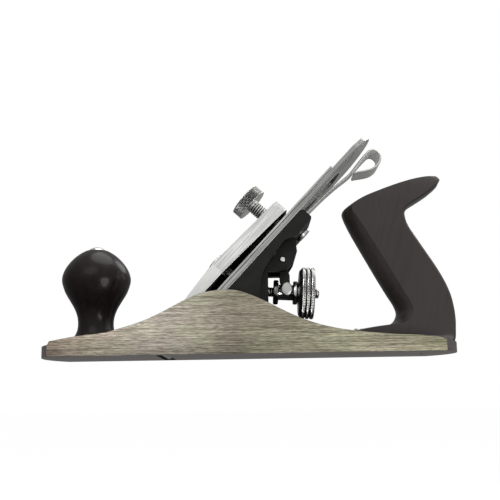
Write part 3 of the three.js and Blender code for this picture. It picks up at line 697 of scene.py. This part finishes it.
SPOOL = [
    (3.3, -7.4), (6.4, -7.4), (7.0, -7.3), (7.35, -6.9), (7.4, -6.4), (7.4, -5.3), (7.3, -4.7), (6.9, -4.35),
    (6.4, -4.3), (5.2, -4.3), (4.8, -4.15), (4.65, -3.8), (4.65, 4.0), (4.8, 4.35), (5.2, 4.5), (6.3, 4.5),
    (6.8, 4.6), (7.05, 5.0), (7.1, 5.4), (7.1, 6.4), (6.95, 6.95), (6.6, 7.25), (6.2, 7.35), (6.0, 7.6),
    (6.0, 8.8), (5.8, 9.0), (3.3, 9.0), (3.3, -7.4)]
SPOOL_SEG = 72
v, f = lathe_mesh(SPOOL, SPOOL_SEG)
# The flanges take the dark copy, a painted dark reflection; the hub stays bright nickel.
spool_painted_dark = [1 if r > 5.3 and h < 4.9 else 0 for r, h in SPOOL[:-1] for _ in range(SPOOL_SEG)]
make("spool_turned", v, f, [M_NICKEL, M_DARK_REFLECTION_STEEL], "spool", ["adjuster_spool"], TURNED_X,
     sharp=34, index=spool_painted_dark)

STUD_LOW, STUD_LONG, STUD_STEPS = -10, 29.4, 176  # the threaded part
STUD = [(0, -18), (3.0, -18), (3.0, -10.2)]
STUD += [(3.0, STUD_LOW + STUD_LONG * i / STUD_STEPS) for i in range(STUD_STEPS + 1)]
STUD += [(2.7, 19.7), (2.2, 20.15), (1.2, 20.38), (0, 20.4)]
v, f = lathe_mesh(STUD, 36, thread(0.42, 1.25, -10.01, 19.41))
# The thread's roots are painted dark as shade.
make("stud_threaded", v, f, [M_STEEL, M_GROOVE_SHADE], "plane_body", ["adjuster_stud"], TURNED_X,
     sharp=75, index=grooves(v, f, 2.4, 2.76, -10, 19.4))

# ------------------------------------------------------------------ yoke and its light fork ends
refine("yoke", [M_FROG], 0.5, 3)
FORK_X, FORK_Y, FORK_Z = 22.55, 8.72, 39.35  # mm, the outer end of each fork end's axis
FORK_SIDE = [(0, 0), (1.5, 0.0), (2.6, 0.12), (3.2, 0.4), (3.5, 0.95), (3.55, 1.8), (3.5, 2.8), (3.2, 3.35),
             (2.6, 3.6), (0, 3.65)]
prof = [(p.x, p.y) for p in spline([(r, h, 0) for r, h in FORK_SIDE], 3)]
prof[0], prof[-1] = FORK_SIDE[0], FORK_SIDE[-1]
v, f = lathe_mesh(prof, 64)
for hand, word in ((-1, "right"), (1, "left")):
    pear = []
    for x, z, y in v:
        tall = 1.24 if z < 0 else 1.22
        narrow = 1.0 - 0.05 * max(0.0, z)
        pear.append((FORK_X + x * narrow, hand * (FORK_Y - y), FORK_Z + z * tall))
    make("fork_end_" + word, pear, f, M_FORK, "yoke", [], sharp=50)

# ------------------------------------------------------------------ lateral lever: one bent sheet
# mm up the bed, mm off it, half width
LEVER_PATH = [
    (91.6, -1.95, 2.9), (93.4, -1.95, 4.2), (96, -1.95, 5.4), (100.6, -1.95, 6.0), (108.6, -1.95, 7.0),
    (114.6, -1.97, 6.4), (120, -2.05, 5.6), (127.6, -2.35, 5.0), (137, -3.0, 4.7), (146, -4.1, 4.6),
    (151, -5.0, 4.7), (155, -5.5, 5.0), (159, -5.4, 6.0), (163, -5.15, 7.9), (167, -4.95, 9.3),
    (171, -4.95, 9.8), (174.2, -5.3, 9.8), (176.0, -6.8, 9.7), (176.5, -9.2, 9.7), (175.9, -11.7, 9.8),
    (173.4, -13.7, 9.8), (169.6, -14.5, 9.8), (165.6, -13.5, 9.8), (162.2, -11.3, 9.7), (159.8, -9.4, 9.5),
    (158.2, -8.3, 9.1), (156.8, -7.5, 8.4)]


def sheet_solid(path, thick, across, steps):
    """A bent sheet as a closed solid: path of (s, n, half width), with rounded long edges."""
    line = spline(path, steps)
    verts, faces = [], []
    ring = 2 * (across + 1)
    for i, p in enumerate(line):
        a, b = line[max(0, i - 1)], line[min(len(line) - 1, i + 1)]
        d = math.hypot(b.x - a.x, b.y - a.y) or 1
        ns, nn = -(b.y - a.y) / d, (b.x - a.x) / d
        top, bottom = [], []
        for j in range(across + 1):
            q = 2 * j / across - 1
            ease = thick / 2 * min(1.0, math.sqrt(max(0.0, 1 - abs(q) ** 14)) + 0.25)
            w = p.z * q
            top.append((p.x + ns * ease, w, p.y + nn * ease))
            bottom.append((p.x - ns * ease, w, p.y - nn * ease))
        verts += top + bottom[::-1]
    for i in range(len(line) - 1):
        for j in range(ring):
            k = (j + 1) % ring
            faces.append((i * ring + j, i * ring + k, (i + 1) * ring + k, (i + 1) * ring + j))
    faces.append(tuple(range(ring)))
    last = (len(line) - 1) * ring
    faces.append(tuple(range(last + ring - 1, last - 1, -1)))
    return verts, faces


v, f = sheet_solid(LEVER_PATH, 1.5, 14, 4)
make("lateral_lever_pressed", v, f, M_PRESSED, "lateral", ["lateral_lever"], BED, sharp=45)

# ------------------------------------------------------------------ the small hardware
SMALL = (
    ("cap_iron_screw", M_STEEL, "bright_steel", 0.3), ("lever_cap_screw", M_STEEL, "bright_steel", 0.35),
    ("thumbscrew_pad", M_STEEL, "bright_steel", 0.3), ("lateral_rivet", M_STEEL, "bright_steel", 0.3),
    ("lateral_roller", M_STEEL, "bright_steel", 0.25), ("frog_screw_left", M_STEEL, "bright_steel", 0.25),
    ("frog_screw_right", M_STEEL, "bright_steel", 0.25), ("frog_washer_left", M_STEEL, "bright_steel", 0.2),
    ("frog_washer_right", M_STEEL, "bright_steel", 0.2), ("tote_nut", M_NICKEL, "nickel", 0.3),
    ("tote_toe_screw", M_NICKEL, "nickel", 0.3), ("yoke_pin", M_NICKEL, "bright_steel", 0.45))
for name, metal, slot, width in SMALL:
    refine(name, [metal], width, 3)


# ------------------------------------------------------------------ stage, lights, camera
def area(name, loc, look, size, power):
    d = bpy.data.lights.new(name, "AREA")
    d.energy = power
    d.size = size
    d.shape = "DISK"
    o = bpy.data.objects.new(name, d)
    bpy.context.scene.collection.objects.link(o)
    o.location = loc
    o.rotation_mode = "QUATERNION"
    o.rotation_quaternion = (Vector(look) - Vector(loc)).to_track_quat("-Z", "Y")


scene = bpy.context.scene
scene.view_settings.view_transform = "Standard"
world = bpy.data.worlds.new("studio")
scene.world = world
world.use_nodes = True
wt = world.node_tree
bg = wt.nodes["Background"]
# Soft light from above, dimmer below; brighter at the right and in front, dimmer at the left and behind.
SKY = [(0.0, grey(0.1)), (0.4, grey(0.36)), (0.49, grey(0.44)), (0.55, grey(0.5)), (0.78, grey(0.56)),
       (1.0, grey(0.95))]  # straight down to straight up
RIGHTWARD, FORWARD = 0.4, -0.9  # how much +X and -Y count towards the bright side
SKY_STRENGTH = 1.4
tc = node(wt, "ShaderNodeTexCoord")
sep = node(wt, "ShaderNodeSeparateXYZ")
wt.links.new(tc.outputs["Generated"], sep.inputs[0])
up = node(wt, "ShaderNodeMapRange")
up.inputs["From Min"].default_value = -1.0
wt.links.new(sep.outputs["Z"], up.inputs["Value"])
height = ramp(wt, up.outputs["Result"], SKY)
towards = node(wt, "ShaderNodeMath", operation="MULTIPLY_ADD")
wt.links.new(sep.outputs["X"], towards.inputs[0])
towards.inputs[1].default_value = RIGHTWARD
nearer = node(wt, "ShaderNodeMath", operation="MULTIPLY")
wt.links.new(sep.outputs["Y"], nearer.inputs[0])
nearer.inputs[1].default_value = FORWARD
wt.links.new(nearer.outputs[0], towards.inputs[2])
facing = node(wt, "ShaderNodeMapRange")
for socket, value in (("From Min", -0.35), ("From Max", 0.75), ("To Min", 0.42), ("To Max", 1.0)):
    facing.inputs[socket].default_value = value
wt.links.new(towards.outputs[0], facing.inputs["Value"])
lit = node(wt, "ShaderNodeMixRGB", blend_type="MULTIPLY")
lit.inputs[0].default_value = 1.0
wt.links.new(height, lit.inputs[1])
wt.links.new(facing.outputs["Result"], lit.inputs[2])
bg.inputs["Strength"].default_value = SKY_STRENGTH
wt.links.new(lit.outputs[0], bg.inputs["Color"])
# The camera itself sees plain white behind the plane.
white = node(wt, "ShaderNodeBackground")
white.inputs["Color"].default_value = (1, 1, 1, 1)
ray = node(wt, "ShaderNodeLightPath")
both = node(wt, "ShaderNodeMixShader")
wt.links.new(ray.outputs["Is Camera Ray"], both.inputs[0])
wt.links.new(bg.outputs[0], both.inputs[1])
wt.links.new(white.outputs[0], both.inputs[2])
wt.links.new(both.outputs[0], wt.nodes["World Output"].inputs["Surface"])

# A wide pale floor well below the plane, which neither lights the plane nor shows in its metal.
FLOOR_HALF, FLOOR_Z = 30, -0.25  # m
fm = bpy.data.meshes.new("floor")
fm.from_pydata([(x * FLOOR_HALF, y * FLOOR_HALF, FLOOR_Z) for x, y in ((-1, -1), (1, -1), (1, 1), (-1, 1))],
               [], [(0, 1, 2, 3)])
floor = bpy.data.objects.new("floor", fm)
scene.collection.objects.link(floor)
pale, _, pale_shader = material("pale_floor", (0.8, 0.8, 0.8), 0.9, 0.0, spec=0.1)
pale_shader.inputs["Emission Color"].default_value = (1, 1, 1, 1)
pale_shader.inputs["Emission Strength"].default_value = 0.5
fm.materials.append(pale)
floor.visible_glossy = False
floor.visible_diffuse = False
floor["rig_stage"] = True

MIDDLE = (0, 0, 0.05)
area("key", (-0.3, -0.95, 0.75), MIDDLE, 0.9, 2.0)
area("top", (0.1, 0.15, 1.1), MIDDLE, 0.9, 5.0)
area("rim", (0.55, 0.6, 0.7), MIDDLE, 0.5, 2.2)
area("low", (0.35, -0.55, -0.2), (0.04, 0, 0.08), 0.36, 1.6)

CAMERA_AT = (0.001, -0.511, -0.028)  # m; close and low, looking up
LENS, SENSOR = 61.2, 36.0  # mm
TILT, ROLL = math.radians(10.27), math.radians(0.92)
cam_data = bpy.data.cameras.new("camera")
cam = bpy.data.objects.new("camera", cam_data)
scene.collection.objects.link(cam)
scene.camera = cam
cam_data.sensor_width = SENSOR
cam_data.lens = LENS
cam_data.clip_start = 0.01
cam_data.clip_end = 100
cam.rotation_mode = "QUATERNION"
aim = Vector((0, math.cos(TILT), math.sin(TILT)))
cam.rotation_quaternion = aim.to_track_quat("-Z", "Y") @ Matrix.Rotation(-ROLL, 4, "Z").to_quaternion()
cam.location = CAMERA_AT

lo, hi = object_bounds()
